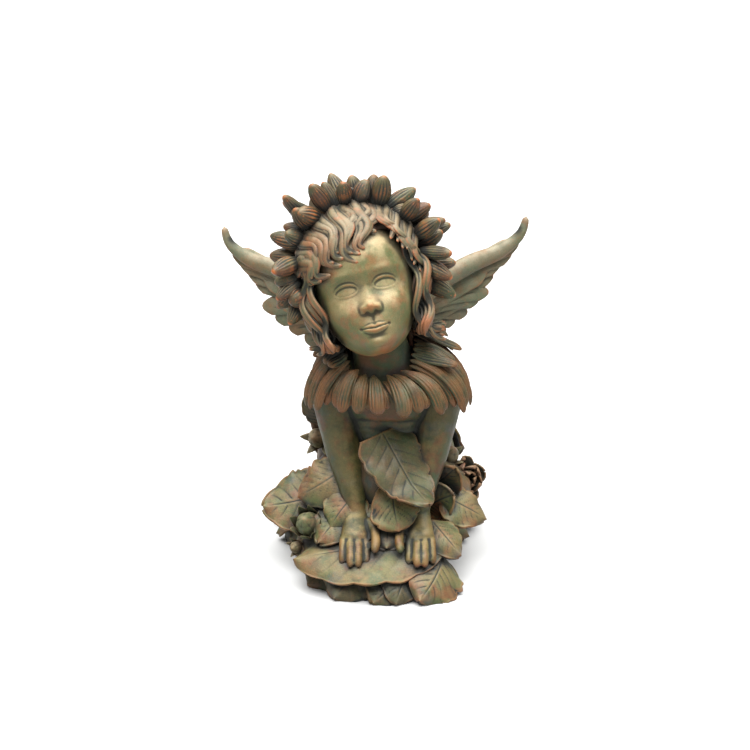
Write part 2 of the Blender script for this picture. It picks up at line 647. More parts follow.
def make_hair():
    """The cap fills what lies under the locks. Below the hairline it is cut back in front, for the face."""
    cap, _, turn = clay_ball("cap", 96, 60)
    at = points_of(cap) * (51.0, 1.0, 53.0) * (1 + 0.018 * np.cos(22 * turn))[:, None]
    at[:, 1] *= np.where(at[:, 1] < 0, 18 + 40 * edge(at[:, 2] - 25, 4), 51)
    set_points(cap, on_head(at + (1, 9.5, 18.5)))
    locks, first_seed = [cap], 200
    for side in (-1, 1):
        for i in range(14):
            seed = first_seed + len(locks)
            random = wobble(1000 + seed, 3)
            if side < 0:
                end = (-0.050 + 0.0034 * (i % 5), -0.050 + 0.0030 * i, 0.2080 + 0.003 * random[0])
            else:
                end = (0.0560 - 0.0026 * (i % 5), -0.046 + 0.0030 * i, 0.2190 + 0.004 * random[0])
            bulk = (0.0, 9.0, 4.5)[i % 3]
            locks.append(hanging_lock(side, -23 + 3.2 * i, bulk, end, seed, 7.4 + random[1]))
    for i in range(15):
        around = 118 + 9 * i + 1.5 * math.sin(2.2 * i)
        locks.append(rear_lock(around, -48 - 8 * (i % 3), first_seed + len(locks)))
    return joined("hair", locks)


fringe = joined("fringe", make_fringe())
hair = make_hair()

# %% [markdown]
# ## Wreath of petals
# The wreath runs over the head from ear to ear. Its petals are plump, like almonds, with grooves that
# run together at the tip. They stand in four rows that lean forwards in front and backwards behind,
# and each is turned its own way, because hand-set petals never line up.


# %% One plump petal
def plump_petal(root, along_to, facing, length, width, thickness, seed, segments, rings):
    """A ball drawn out to an almond, with uneven grooves that fade out at its blunt tip."""
    random = wobble(seed, 6)
    piece, latitude, turn = clay_ball("petal", segments, rings)
    along = 0.5 - 0.5 * np.cos(math.pi * latitude)
    belly = 0.66 + 0.36 * np.sin(0.5 * math.pi * clamp(along / 0.58))
    outline = np.sin(math.pi * latitude) ** (0.95 + 0.12 * random[4]) * belly
    outline = outline * (1 - (0.16 + 0.10 * random[5]) * along**4)
    groove = np.abs(np.cos(8 * turn + 1.3 * random[0] + 0.5 * np.sin(4 * along + random[1]))) ** 0.7
    uneven = 0.62 + 0.38 * np.sin(2.6 * turn + 3 * random[1])
    depth = 0.18 * clamp((0.97 - along) / 0.22) ** 0.8 * clamp(along / 0.1) * uneven
    size = outline * (1 + depth * (groove - 0.68))
    axis, bend = unit(along_to), unit(facing)
    t = np.linspace(0, 1, 12)[:, None]
    path = root + axis * length * t + bend * length * (0.06 + 0.12 * random[3]) * t**2
    across, up = 0.5 * width * size * np.cos(turn), 0.5 * thickness * size * np.sin(turn)
    set_points(piece, laid_along(path, bend, along, across, up))
    return piece


# %% Set the petals by rows
WREATH_ROWS = (
    # petals, how far round, how far back, in from the ring, lean, length, width and how far they stray
    (17, 103, -13, 2, -0.45, 27.0, 15.0, 34),
    (19, 107, -4, 3, 0.00, 31.0, 14.5, 28),
    (15, 109, 8, 4, 0.20, 29.0, 15.5, 22),
    (13, 110, 20, 8, 0.60, 31.0, 16.0, 18),
)


def wreath_row(row, segments, rings):
    """Evenly round the ring, but each petal strays a little in place, size and direction."""
    count, reach, back, inwards, lean, length, width, stray = WREATH_ROWS[row]
    petals = []
    for i in range(count):
        seed = 100 + 20 * row + i
        random = wobble(seed, 6)
        around = reach * (2 * (i + 0.5 * (row % 2) - 0.25 + 0.36 * random[0]) / (count - 1) - 1)
        points_to = math.radians(around + 22 * math.sin(math.radians(1.4 * around)) + stray * random[1])
        side, up = math.sin(math.radians(around)), math.cos(math.radians(around))
        radius = WREATH_RADIUS - inwards
        root = on_head((radius * side, back + 5 - 7 * up, WREATH_MIDDLE + radius * up))
        out = HEAD_TURN @ (math.sin(points_to), lean + 0.42 * random[2], math.cos(points_to))
        facing = HEAD_TURN @ (0.35 * side, -1.0, 0.35 * up)
        long, wide = HEAD_UNIT * length * (1 + 0.24 * random[3]), HEAD_UNIT * width * (1 + 0.18 * random[4])
        petals.append(plump_petal(root, out, facing, long, wide, 0.80 * wide, seed, segments, rings))
    return petals


def make_wreath():
    """The two rows in front, which lean forwards."""
    return joined("wreath", wreath_row(0, 76, 17) + wreath_row(1, 76, 17))


def make_wreath_back():
    """The two rows behind, which lean backwards, and a bud of seven small petals on top."""
    petals = wreath_row(2, 52, 14) + wreath_row(3, 52, 14)
    for i in range(7):
        around = 2 * math.pi * i / 7
        ring = np.array([math.cos(around), math.sin(around), 0])
        root, out = on_head((16.0, -12.0, 77.0) + 2.5 * ring), 0.5 * ring + (0, 0, 1.0)
        inner = HEAD_TURN @ (out * (1, 1, -0.3))
        petals.append(plump_petal(root, HEAD_TURN @ out, inner, 0.0135, 0.0066, 0.0040, 200 + i, 32, 14))
    return joined("wreath_back", petals)


wreath = make_wreath()
wreath_back = make_wreath_back()

# %% [markdown]
# ## Collar
# The collar is made of long flat petals in two layers. All of them lie on one imagined surface, a
# bell that runs from the neckline out over the shoulders and turns down to a hem. The upper layer is
# shorter, so the tips of the lower one show between its petals.

# %% The bell that the collar lies on
# its middle, half its width and depth, and how far it dips in front
NECKLINE = (np.array([0.0035, -0.027, 0.203]), 0.0290, 0.0290, 0.021)
HEM = (np.array([0.0125, -0.022, 0.149]), 0.0665, 0.0505, -0.011)


def on_collar(around, t, lift):
    """Places on the collar: around is 0 in front, and t runs from 0 at the neckline to 1 at the hem."""
    side, front = np.sin(around), np.cos(around)
    ends = [
        middle + np.stack([half_width * side, -half_depth * front, -dip * front], axis=1)
        for middle, half_width, half_depth, dip in (NECKLINE, HEM)
    ]
    t = np.clip(t, 0, 1.3)
    spread = np.sin(0.5 * math.pi * clamp(t)) ** 0.9
    fall = 0.35 * t + 0.65 * (1 - np.cos(0.5 * math.pi * t))
    at = ends[0] + (ends[1] - ends[0]) * np.stack([spread, spread, fall], axis=1)
    out = unit(np.stack([side * t, -front * t, 1.1 - 0.95 * t], axis=1))
    return at + out * lift[:, None]


# %% One long petal, and the two layers
COLLAR_LAYERS = (
    # petals, reach, lift, width and how far the tips stand up
    (29, 0.98, 0.0000, 0.0108, 0.0012),
    (23, 1.05, 0.0044, 0.0112, 0.0026),
)


def collar_petal(around, reach, width, lift, seed, tip_lift):
    """A flat ball laid on the bell, with fine ridges along it and a round tip."""
    random = wobble(seed, 5)
    piece, latitude, turn = clay_ball("collar_petal", 60, 14)
    u, face = np.cos(turn), np.sin(turn)
    along = 0.5 - 0.5 * np.cos(math.pi * latitude)
    tip = clamp(1 - clamp((along - 0.84) / 0.16) ** 2.2) ** 0.5
    outline = tip * clamp(6 * along) ** 0.5 * (0.46 + 0.54 * np.sin(0.74 * math.pi * along))
    groove = np.abs(np.cos(2.6 * math.pi * u + 0.5 * random[0] + 0.5 * np.sin(3 * along))) ** 0.7
    arch = 0.0024 * (1 - u**2) + 0.0012 * face
    carved = 0.00155 * (groove - 0.62) * (face > 0.05) * clamp(6 * (1 - along)) * np.abs(face) ** 0.3
    t = 0.02 + (reach - 0.02) * along
    up = lift + (arch + carved) * clamp(outline) + tip_lift * along**3 * (1 + 0.6 * random[1])
    up = up + 0.0006 * np.sin(7 * along + 3 * random[2])
    place = around + 0.09 * random[3] * along + 0.5 * width * u * outline / (0.030 + 0.030 * clamp(t))
    set_points(piece, on_collar(place, t, up))
    return piece


def make_collar():
    """Two layers, and at each shoulder a tuft of short petals that stick out under the hair."""
    petals, first_seed = [], 301
    for count, reach, lift, width, tips in COLLAR_LAYERS:
        for i in range(count):
            seed = first_seed + len(petals)
            random = wobble(seed, 3)
            around = 2 * math.pi * (i + 0.5 + 0.26 * random[0]) / count
            long, wide = reach * (1 + 0.07 * random[1]), width * (1 + 0.08 * random[2])
            petals.append(collar_petal(around, long, wide, lift, seed, tips))
    for side in (-1, 1):
        for i in range(7):
            seed = first_seed + len(petals)
            random = wobble(seed, 3)
            around = side * math.radians(60 + 13 * i + 4 * random[0])
            lift, tips = 0.0072 + 0.0016 * (i % 2), 0.0050 + 0.0025 * random[2]
            petals.append(collar_petal(around, 0.46 + 0.07 * random[1], 0.0098, lift, seed, tips))
    return joined("collar", petals)


collar = make_collar()

# %% [markdown]
# ## Wings
# Each wing has a smooth rounded arm along its upper edge, which sweeps out and turns up into a blunt
# tip. Two fans of broad smooth feathers hang from it, with a deep gap between the fans. The feathers
# overlap like roof tiles, and their round ends make the scalloped rear edge. They are thick, because
# thin feathers can't be cast in resin. The arm follows the solid's own, and so do the first and the
# last feather of each fan. The rest are spaced evenly between those two.


# %% One feather
def feather(root, tip, width, facing, tilt, seed, sweep):
    """A smooth blade with a faint line along its middle, bowed upwards, with its edge towards tilt raised."""
    random = wobble(seed, 3)
    piece, latitude, turn = clay_ball("feather", 44, 30)
    u, face = np.cos(turn), np.sin(turn)
    along = 0.5 * latitude + 0.25 - 0.25 * np.cos(math.pi * latitude)
    outline = clamp(2.6 * np.sqrt(clamp(1 - along))) * (0.36 + 0.64 * clamp(along * 1.25) ** 0.8)
    outline = outline * clamp(8 * along) ** 0.5
    body = 0.0022 * np.abs(face) ** 0.7 * np.sign(face)
    line = -0.00025 * bell(u + 0.1, 0.10) * clamp(face * 4) * clamp(4 * (1 - along))
    t = np.linspace(0, 1, 14)[:, None]
    run = tip - root
    upward = unit(np.array([0, 0, 1.0]) - unit(run) * unit(run)[2])
    bow = np.linalg.norm(run) * sweep * (1 + 0.15 * random[1]) * np.sin(math.pi * t**0.9)
    rise = (body + line) * clamp(outline) * (1 + 0.1 * random[0]) + tilt * 0.0015 * u * outline
    path = root + run * t + upward * bow
    set_points(piece, laid_along(path, facing, along, 0.5 * width * outline * u, rise))
    return piece


# %% Two wings
WING_REACH = 0.142  # from the middle of the statue to a wing tip
WING_DROOP = 0.010  # the wing on her right hangs lower, and its lower fan twice as much
WING_ARM = np.array([
    # out, back and up
    (0.022, 0.016, 0.192), (0.040, 0.034, 0.228), (0.60 * WING_REACH, 0.054, 0.255),
    (0.86 * WING_REACH, 0.064, 0.270), (0.96 * WING_REACH, 0.069, 0.283), (WING_REACH - 0.002, 0.072, 0.297),
])  # fmt: skip
WING_ARM_HALF = (0.0095, 0.0105, 0.0100, 0.0094, 0.0090, 0.0084, 0.0070, 0.0050, 0.0030)
COVERTS = (((0.014, 0.186), (0.104, 0.257)), ((0.016, 0.176), (0.088, 0.236)))  # root and tip, out and up
FANS = (
    # out and up: first and last tip, first and last root; then feathers on her right and left, width and bow
    ((0.133, 0.273), (0.110, 0.244), (0.060, 0.232), (0.040, 0.214), (4, 4), 0.0165, 0.040),
    ((0.107, 0.229), (0.066, 0.192), (0.042, 0.212), (0.030, 0.194), (4, 5), 0.0155, 0.080),
)


def rounded(points, count=40):
    """A smooth curve through a few points."""
    way = np.concatenate([[0], np.cumsum(np.linalg.norm(np.diff(points, axis=0), axis=1))])
    return eased(np.column_stack([way, points]), np.linspace(0, way[-1], count))


def make_wing(side):
    """The arm, two coverts over the roots, and two fans."""
    facing = unit(np.array([-side * 0.30, -1.0, 0.12]))
    droop = WING_DROOP if side < 0 else 0.0

    def placed(out, up, forward, sag):
        return np.array([side * out, 0.030 + 0.30 * out, up - sag * out / WING_REACH]) + facing * forward

    arm = rounded(WING_ARM) * (side, 1, 1)
    arm[:, 2] -= droop * np.abs(arm[:, 0]) / WING_REACH
    parts = [tube("wing_arm", arm, WING_ARM_HALF, (-side * 0.30, -1, 0.25), 0.62, 32, 60, cap=0.03)]
    for i, ends in enumerate(COVERTS):
        root, tip = (placed(out, up, -0.0030 - 0.001 * i, droop) for out, up in ends)
        parts.append(feather(root, tip, 0.030, facing, side, 560 + i, 0.06))
    for fan, (first, last, first_root, last_root, counts, width, bow) in enumerate(FANS):
        count = counts[(side + 1) // 2]
        for i in range(count):
            share = i / (count - 1)
            random = wobble(500 + 50 * fan + 10 * side + i, 2)
            root = np.array(first_root) + share * (np.array(last_root) - first_root)
            tip = np.array(first) + share * (np.array(last) - first) + 0.0015 * random
            forward, sag = (-0.0020, 0.0016)[fan] - 0.0005 * i, droop * (1 + fan)
            root, tip = placed(*root, forward, sag), placed(*tip, forward, sag)
            broad = width * (1.12 if side < 0 else 1.0)
            parts.append(feather(root, tip, broad, facing, side, 500 + 10 * fan + i, bow))
    return parts


wings = joined("wings", make_wing(-1) + make_wing(1))

# %% [markdown]
# ## Leaves
# Each leaf is a flat grid laid along its midrib. Its outline is widest near the stalk and wavy along
# the edge, with a tear here and there. The midrib is a sharp groove, the side veins are shallower
# ones, and the flesh between them swells a little. The edge ripples, the leaf cups across and bows
# along its length, and Solidify then gives it the thickness that a casting needs.


# %% One leaf
LEAF_THICKNESS = 0.0022


def leaf(root, tip, facing, width, seed, arch=0.08, cup=0.10, curl=0.0, lobes=5, tears=(), broad=0.40,
         grid=(32, 36), veins=8, thick=LEAF_THICKNESS, ripple=0.028, cut=0.0):  # fmt: skip
    """arch bows it and cup hollows it across; curl bends the tip towards facing. tears are (side, way along)
    pairs, broad is where it is widest, and cut is where its outline starts, for a stalk end tucked away."""
    random = wobble(seed, 6)
    piece, u, v = clay_sheet("leaf", *grid)
    root, tip, facing = np.asarray(root, float), np.asarray(tip, float), unit(np.asarray(facing, float))
    side = np.abs(u)
    power = math.log(0.5) / math.log(broad)
    outline = np.sin(math.pi * clamp(0.03 + cut + (0.968 - cut) * v) ** power) ** 0.60
    wave = np.abs(np.sin(lobes * math.pi * v + 1.5 * random[0] + 0.4 * u)) - 0.6
    uneven = 0.03 * np.sin(3.1 * v + 4 * random[1] + 2 * u) * side**2
    outline = outline * (1 + 0.085 * wave * side**5 + uneven)
    for which, where in tears:
        outline = outline * (1 - 0.16 * bell(v - where, 0.022) * side**5 * (np.sign(u) == which))
    half = 0.5 * width * outline
    x = side * half
    midrib = (-0.0006 * bell(x, 0.0008) + 0.0004 * bell(x, 0.0028)) * clamp(3.5 * (1 - v))
    slant = (v - 0.34 * side) * veins + 0.25 * np.sign(u) + 0.3 * np.sin(2 * side + random[2])
    from_vein = np.abs(slant - np.round(slant))
    fade = clamp(1.25 - side) * clamp(6 * v + 9 * cut) * clamp(5 * (1 - v)) * clamp(x / 0.003)
    side_veins = (-0.00022 * bell(from_vein, 0.085) + 0.00020 * np.sin(math.pi * from_vein) ** 2) * fade
    rim = 0.0006 * bell(1 - side, 0.05)
    waves = ripple * width * np.sin(lobes * math.pi * v * 0.9 + 2.2 * u + 3 * random[3]) * side**2
    rise = midrib + side_veins + rim + waves - cup * width * (side**1.6 - 0.3)
    t = np.linspace(0, 1, 18)[:, None]
    run, length = tip - root, np.linalg.norm(tip - root)
    path = root + run * t + facing * length * (arch * np.sin(math.pi * t) + curl * clamp(t - 0.62) ** 1.8)
    path = path + unit(np.cross(run, facing)) * 0.07 * length * random[4] * np.sin(math.pi * t)
    set_points(piece, laid_along(path, facing, v, u * half, rise))
    return applied(piece, "SOLIDIFY", thickness=thick, offset=-1.0, use_quality_normals=True)


# %% The mound under the leaves
BED_HALF_WIDTH, BED_HALF_DEPTH, BED_HEIGHT = 0.088, 0.118, 0.046
MOUND_BUMPS = ((-0.056, -0.024, 0.020), (0.058, -0.002, 0.020), (0.062, 0.055, 0.032), (-0.060, 0.055, 0.034))


def make_mound():
    """What the leaves lie on. It shows only in the gaps between them."""
    parts = [
        oval("mound", (0, 0.030, -0.002), (BED_HALF_WIDTH, BED_HALF_DEPTH - 0.018, BED_HEIGHT)),
        oval("mound", (-0.002, -0.058, -0.002), (0.056, 0.060, 0.034)),
        oval("mound", (0.010, -0.036, 0.080), (0.030, 0.032, 0.048)),
    ]
    parts += [oval("mound", (x, y, 0.002), (radius, radius, 0.6 * radius)) for x, y, radius in MOUND_BUMPS]
    for side, knee in ((-1, (-0.040, -0.016, 0.050)), (1, (0.056, -0.012, 0.052))):
        thigh = [(BODY_X - 0.004 + side * 0.020, 0.062, 0.070), knee]
        parts.append(tube("thigh", thigh, (0.035, 0.033, 0.029, 0.027), segments=32, cap=0.2))
    mound = fused("mound", parts, MOUND_VOXEL, 4)
    at = points_of(mound)
    lumps = np.array([noise.noise(p * 60) + 0.5 * noise.noise(p * 140) for p in map(Vector, at)])
    at[:, :2] *= (1 + 0.02 * lumps)[:, None]
    at[:, 2] = np.maximum(at[:, 2] + 0.0016 * lumps, 0.0)
    set_points(mound, at)
    return joined("mound", [mound])


mound = make_mound()


# %% Lay the leaves in front
# Each row is a root, a tip, a facing, a width and a seed, and then what sets the leaf apart.
CUPPED = dict(arch=0.12, cup=-0.10, curl=0.1, lobes=4, broad=0.55, ripple=0.02)
FRONT = (
    # the broad leaf under her hands
    ((0.060, -0.080, 0.040), (-0.072, -0.092, 0.026), (0.06, -0.40, 1), 0.076, 1,
     dict(arch=0.05, broad=0.46, ripple=0.016, grid=(76, 88), veins=7)),
    # the large veined one at the right, and two above it
    ((0.060, -0.085, 0.026), (0.038, -0.129, 0.005), (0.30, -1, 0.80), 0.054, 7,
     dict(arch=0.10, curl=0.05, lobes=6, tears=((-1, 0.45), (-1, 0.75), (1, 0.6)), broad=0.45,
          grid=(56, 62))),
    ((0.050, -0.066, 0.052), (0.076, -0.092, 0.030), (0.4, -0.8, 0.9), 0.036, 8,
     dict(arch=0.10, cup=0.12, lobes=4, tears=((1, 0.5),))),
    ((0.062, -0.040, 0.064), (0.101, -0.046, 0.044), (0.2, -0.7, 1), 0.040, 9, dict()),
    # two cupped leaves behind the right arm, with light edges
    ((0.050, -0.022, 0.064), (0.072, -0.040, 0.092), (0.25, -1, 0.35), 0.036, 10, CUPPED),
    ((0.044, -0.034, 0.048), (0.070, -0.050, 0.070), (0.25, -1, 0.45), 0.036, 11, CUPPED),
    # the broad leaf at the left, its tip turned up, and those round it
    ((-0.036, -0.036, 0.066), (-0.102, -0.034, 0.050), (-0.15, -0.75, 0.8), 0.064, 12,
     dict(arch=0.03, cup=0.06, curl=0.25, tears=((1, 0.5),), broad=0.42, grid=(54, 62), veins=7)),
    ((-0.024, -0.040, 0.094), (-0.070, -0.046, 0.066), (-0.5, -1, 0.7), 0.048, 13,
     dict(arch=0.10, tears=((1, 0.55),))),
    ((-0.014, -0.056, 0.076), (-0.040, -0.078, 0.050), (-0.3, -1, 0.8), 0.042, 14, dict(arch=0.10)),
    ((-0.020, -0.058, 0.060), (-0.050, -0.086, 0.040), (-0.3, -0.8, 1), 0.044, 15, dict(arch=0.10, cup=0.08)),
    ((-0.040, -0.060, 0.042), (-0.063, -0.074, 0.014), (-0.6, -0.8, 0.8), 0.034, 16, dict(arch=0.10)),
    ((-0.044, -0.036, 0.034), (-0.074, -0.034, 0.012), (-1, -0.5, 0.7), 0.040, 17, dict(arch=0.10)),
    # between her arms, under the hanging leaf
    ((0.018, -0.052, 0.102), (0.021, -0.096, 0.056), (0.05, -1, 0.75), 0.042, 18,
     dict(arch=0.06, cup=0.06, lobes=6, tears=((1, 0.85), (-1, 0.8)), broad=0.74, grid=(42, 42),
      veins=12, ripple=0.05)),
    ((0.010, -0.060, 0.070), (0.010, -0.098, 0.040), (0, -0.7, 1), 0.060, 19, dict(arch=0.04, cup=0.06)),
)  # fmt: skip
TUCKED = (
    # below the broad leaf, from left to right, tucked in under its edge
    ((-0.034, -0.074, 0.020), (-0.060, -0.094, 0.002), (-0.7, -1, 0.5), 0.044, 3, dict(arch=0.12)),
    ((-0.008, -0.090, 0.020), (-0.036, -0.119, 0.002), (-0.25, -1, 0.50), 0.062, 4,
     dict(arch=0.10, cup=0.12, tears=((1, 0.6),))),
    ((0.018, -0.098, 0.018), (-0.002, -0.127, 0.002), (-0.05, -1, 0.5), 0.044, 5, dict(arch=0.10, cup=0.08)),
    ((0.032, -0.098, 0.022), (0.018, -0.129, 0.002), (0.1, -1, 0.45), 0.038, 6, dict(arch=0.10)),
)  # fmt: skip
HANGING = (
    # tucked into her bodice in front of her left arm, with its tip curled up over the wrist
    ((0.006, -0.057, 0.134), (0.043, -0.095, 0.078), (0.60, -1, 1.00), 0.060, 20,
     dict(arch=-0.03, cup=0.04, curl=0.80, tears=((-1, 0.36), (-1, 0.62), (1, 0.72), (-1, 0.82)),
      grid=(60, 70), veins=7, ripple=0.030, cut=0.12)),
)  # fmt: skip


def laid_leaves(name, rows):
    return joined(name, [leaf(*row, **more) for *row, more in rows])


front_leaves = laid_leaves("front_leaves", FRONT)
tucked_leaves = laid_leaves("tucked_leaves", TUCKED)
hanging_leaf = laid_leaves("hanging_leaf", HANGING)


# %% Lay the leaves behind
RIM = (
    # angle, reach, height within, height at the tip and width
    (-168, 1.04, 0.042, 0.006, 0.066), (-146, 1.06, 0.046, 0.010, 0.062), (-124, 1.04, 0.044, 0.006, 0.066),
    (-103, 1.05, 0.050, 0.010, 0.062), (-84, 0.98, 0.050, 0.006, 0.046), (80, 0.94, 0.046, 0.006, 0.046),
    (97, 1.08, 0.050, 0.014, 0.058), (118, 1.04, 0.044, 0.006, 0.064), (139, 1.05, 0.048, 0.010, 0.062),
    (160, 1.04, 0.042, 0.006, 0.066), (180, 1.02, 0.052, 0.012, 0.062),
)  # fmt: skip
SKIRT = (
    # on both sides, from the knee back to the rump: the middle between the two, root, run to the tip and
    # facing, with x outwards, then width, seed and arch
    (-0.003, (0.048, -0.004, 0.082), (0.030, -0.016, -0.046), (1, -0.6, 0.6), 0.050, 60, 0.12),
    (0.000, (0.030, 0.058, 0.118), (0.034, -0.036, -0.060), (1, -0.2, 0.7), 0.060, 64, 0.16),
    (0.000, (0.030, 0.058, 0.118), (0.036, 0.030, -0.066), (1, 0.5, 0.6), 0.058, 67, 0.16),
    (0.000, (0.014, 0.064, 0.128), (0.026, 0.044, -0.058), (0.5, 1, 0.9), 0.056, 78, 0.16),
)
# under the collar behind, from the middle outwards: aside, back and high
TIER = ((0.0, 0.036, 0.170), (0.026, 0.024, 0.163), (0.042, 0.010, 0.148))
COARSE = (24, 28)


def make_back_leaves():
    """Round the rim from the left side over the back to the right side, and over her knees and hips."""
    pieces = []
    for i, (angle, reach, rise, low, width) in enumerate(RIM):
        x, y = math.sin(math.radians(angle)), -math.cos(math.radians(angle))
        inner = (x * 0.50 * BED_HALF_WIDTH, 0.022 + y * 0.5 * BED_HALF_DEPTH, rise + 0.004)
        outer = (x * reach * BED_HALF_WIDTH * 1.08, 0.014 + y * reach * BED_HALF_DEPTH, low)
        tears, facing = ((1, 0.5),) if i % 3 == 0 else (), (0.7 * x, 0.7 * y, 1)
        pieces.append(leaf(inner, outer, facing, width, 40 + i, 0.12, tears=tears, grid=COARSE))
    for side in (-1, 1):
        for middle, *places, width, seed, arch in SKIRT:
            root, run, facing = np.array(places) * (side, 1, 1)
            root = root + (BODY_X + middle, 0, 0)
            pieces.append(leaf(root, root + run, facing, width, seed + side, arch, grid=COARSE))
    root, tip = (BODY_X, 0.068, 0.122), (BODY_X, 0.120, 0.046)
    pieces.append(leaf(root, tip, (0, 1, 0.7), 0.064, 70, 0.14, grid=COARSE))
    for i in range(-2, 3):
        aside, back, high = TIER[abs(i)]
        aside = math.copysign(aside, i)
        root = (BODY_X + 0.86 * aside, back, high)
        tip = (BODY_X - 0.002 + 1.36 * aside, back + 0.054, high - 0.060)
        pieces.append(leaf(root, tip, (18 * aside, 1, 0.9), 0.052, 74 + i, 0.10, 0.14, cut=0.08, grid=COARSE))
    root, tip = (BODY_X - 0.050, 0.020, 0.112), (BODY_X - 0.071, 0.004, 0.148)
    pieces.append(leaf(root, tip, (-0.3, -1, 0.2), 0.034, 71, 0.08, 0.06))
    return joined("back_leaves", pieces)


back_leaves = make_back_leaves()

# %% [markdown]
# ## Buds and a flower
# A round bud like a nut sits on the left, held by pointed sepals. A smaller one is curled up below
# it, a third sits by her hip, and on the right a flower has opened into ruffled petals, with a fourth
# bud above it.


# %% Buds, sepals and the open flower
def turned_out(out):
    """A direction at length 1, the turn that brings Z to it, and a function for the sideways directions."""
    out = unit(np.asarray(out, float))
    turn = np.array(Vector(out).to_track_quat("Z", "Y").to_matrix())
    return out, turn, lambda angle: turn @ (math.cos(angle), math.sin(angle), 0)


def bud(at, radius, out, seed, sepals, open_by):
    """An egg with a small point, sitting in a ring of pointed sepals that bend back."""
    out, turn, sideways = turned_out(out)
    body, along, around = clay_ball("bud", 48, 32)
    rows = points_of(body) * (radius, radius, 1.15 * radius)
    rows[:, 2] += 0.30 * radius * clamp(along - 0.80) * 5
    rows[:, :2] *= (0.94 + 0.09 * np.abs(np.cos(2.5 * around)) ** 0.6)[:, None]
    set_points(body, rows @ turn.T + at)
    parts = [body]
    bends = ((-0.9, 0.25), (-0.60, 0.85), (-0.15, 1.15), (0.35 - 0.3 * open_by, 1.35 + 0.2 * open_by),
             (0.80 - 0.5 * open_by, 1.60 + 0.4 * open_by))  # fmt: skip
    for i in range(sepals):
        side = sideways(2 * math.pi * (i + 0.2 * wobble(seed * 31 + i, 3)[0]) / sepals)
        path = [at + radius * (out * ahead + side * aside) for ahead, aside in bends]
        width = radius * np.array([0.34, 0.48, 0.44, 0.28, 0.04])
        parts.append(tube("sepal", path, width, side, 0.30, 18, 22, 2, 0.25, cap=0.08))
    return parts


# each ring's petals, spread, length and width, and how its petals are ruffled
FLOWER_RINGS = ((3, 0.25, 0.95, 1.0), (4, 0.65, 1.15, 1.3), (5, 1.15, 1.35, 1.4))
RUFFLED = dict(arch=-0.14, cup=-0.22, curl=-0.7, lobes=2, broad=0.66, grid=(20, 20), veins=0.01, ripple=0.14,
               thick=0.0018)  # fmt: skip


def open_flower(at, radius, out, seed):
    """Three rings of ruffled petals that stand closer the nearer they are to the middle."""
    out, turn, sideways = turned_out(out)
    parts = []
    for ring, (count, spread, long, width) in enumerate(FLOWER_RINGS):
        for i in range(count):
            petal_seed = seed + 10 * ring + i
            side = sideways(2 * math.pi * (i + 0.5 * ring + 0.2 * wobble(petal_seed, 4)[0]) / count)
            root = at + radius * (0.10 * side - (0.15 + 0.10 * ring) * out)
            leaning = math.sin(spread) * side + math.cos(spread) * out
            tip = at + radius * long * leaning + radius * 0.2 * side
            parts.append(leaf(root, tip, out - 0.8 * side, radius * width, petal_seed, **RUFFLED))
    core, _, _ = clay_ball("flower_core", 24, 16)
    set_points(core, (points_of(core) * 0.42 * radius) @ turn.T + at)
    return parts + [core]


FLOWER_AT = np.array([0.084, 0.022, 0.053])
BUDS = (
    # place, radius, the way it looks, seed, sepals, and how far they are open
    ((-0.060, -0.062, 0.047), 0.0108, (-0.25, -0.7, 0.65), 1, 8, -0.6),
    ((-0.071, -0.060, 0.023), 0.0056, (-0.5, -0.8, 0.2), 2, 6, 0.6),
    ((-0.053, 0.022, 0.096), 0.0095, (-0.4, -0.8, 0.3), 3, 6, 0.8),
    (FLOWER_AT + (-0.014, -0.006, 0.028), 0.0085, (0.4, -0.5, 0.8), 4, 5, 0.3),
)
blooms = [part for at, *rest in BUDS for part in bud(np.array(at), *rest)]
flowers = joined("flowers", blooms + open_flower(FLOWER_AT, 0.0135, (0.45, -0.85, 0.45), 80))

# %% [markdown]
# ## Put the pieces in place
# The pieces were laid out from the maker's drawing. The casting's box is centred on the middle of its
# underside, so everything moves by the small shift between the two, and nothing goes below the floor.

# %% Move and smooth
PIECES = [
    head, body, fringe, hair, wreath, wreath_back, collar, wings, mound, front_leaves, tucked_leaves,
    hanging_leaf, back_leaves, flowers,
]  # fmt: skip
for piece in PIECES:
    at = points_of(piece) + SHIFT
    at[:, 2] = np.maximum(at[:, 2], 0.0)
    set_points(piece, at)
    select(piece)
    bpy.ops.object.shade_smooth()
print(sum(len(piece.data.vertices) for piece in PIECES), "points in all")

# %% [markdown]
# ## Where the surface wears and where dirt stays
# A cast figure is painted dark, and the paint is wiped off the high places while it is wet. So the
# colour follows the relief, and three numbers are measured at each point and kept as attributes:
# `crest`, how sharply the surface stands out; `hollow`, how sharply it dips; and `shade`, how much
# other casting stands close in front of it, as between two petals. Bend is the mean curvature, from
# each point's neighbours. Closeness comes from a coarse grid of the whole figure.


# %% Measure bend
FULL_BEND, FULL_STAND = 420, 0.0004  # a curvature, and a height over the smoothed surface, in metres


def bend_and_stand(piece, at, out):
    """Each point's mean curvature and how far it stands out, and a function for its neighbours' mean."""
    pairs = rows_of(piece.data.edges, "vertices", 2, np.int64)
    here, there = np.concatenate([pairs, pairs[:, ::-1]]).T
    share = 1 / np.maximum(np.bincount(here, minlength=len(at)), 1)

    def mean(values):
        if values.ndim > 1:
            return np.stack([mean(column) for column in values.T], axis=1)
        return np.bincount(here, values[there], len(at)) * share

    square = np.bincount(here, ((at[here] - at[there]) ** 2).sum(axis=1), len(at)) * share
    bend = -2 * ((mean(at) - at) * out).sum(axis=1) / np.maximum(square, 1e-9)
    for _ in range(2):
        bend = 0.5 * bend + 0.5 * mean(bend)
    smooth = at
    for _ in range(5):
        smooth = mean(smooth)
    stand = ((at - smooth) * out).sum(axis=1) / FULL_STAND
    return (bend - np.median(bend)) / FULL_BEND, stand - np.median(stand), mean


